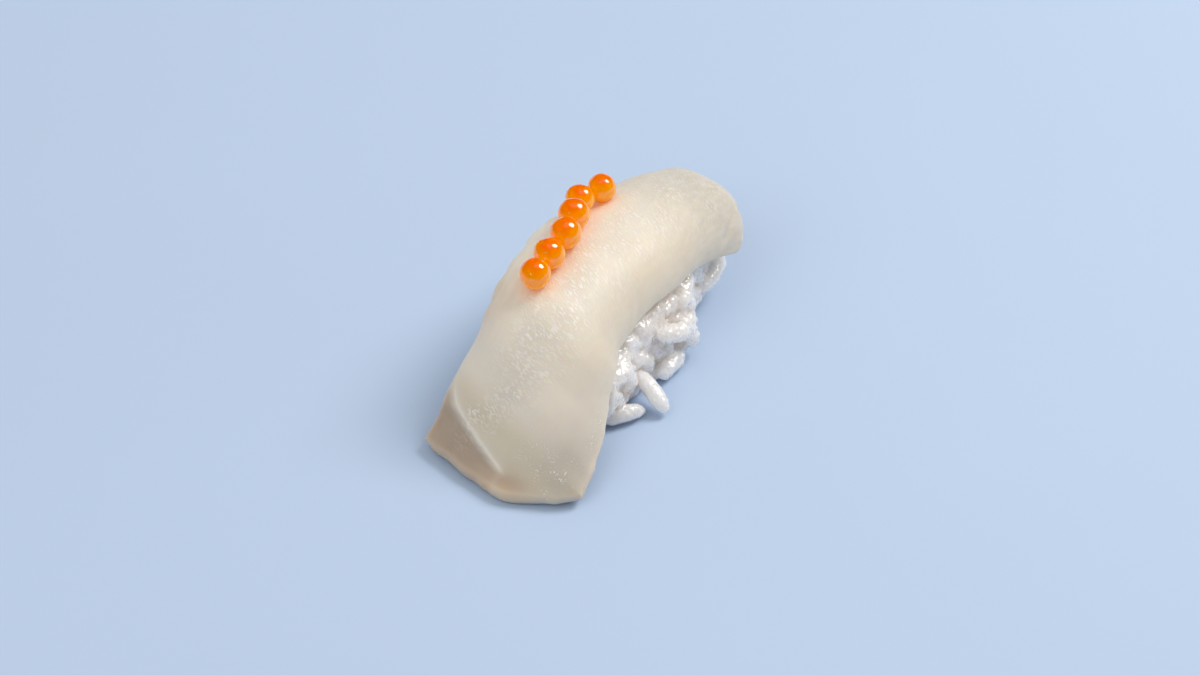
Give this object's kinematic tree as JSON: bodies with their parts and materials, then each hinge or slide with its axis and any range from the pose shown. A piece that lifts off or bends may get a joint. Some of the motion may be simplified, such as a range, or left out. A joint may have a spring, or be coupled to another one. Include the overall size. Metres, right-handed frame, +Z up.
{
  "type": "halibut nigiri",
  "caption": "Nigiri: a pale raw halibut slice draped over an oblong ball of pressed rice, with a row of orange roe pearls along one side.",
  "frame": {"origin": "middle of the piece's bounding box, on the surface that it rests on", "axes": "+X along the piece towards the slice's far end, +Y to the side where the roe lies, +Z up"},
  "size_m": [0.07, 0.0301, 0.0285],
  "materials": {
    "fish": "wet, translucent raw white fish",
    "rice": "sticky, slightly glossy cooked short grain rice",
    "roe": "glossy, translucent orange"
  },
  "bodies": {
    "root": {"rice": "rice", "halibut_slice": "fish", "roe_1": "roe", "roe_2": "roe", "roe_3": "roe", "roe_4": "roe", "roe_5": "roe", "roe_6": "roe"}
  },
  "joints": []
}
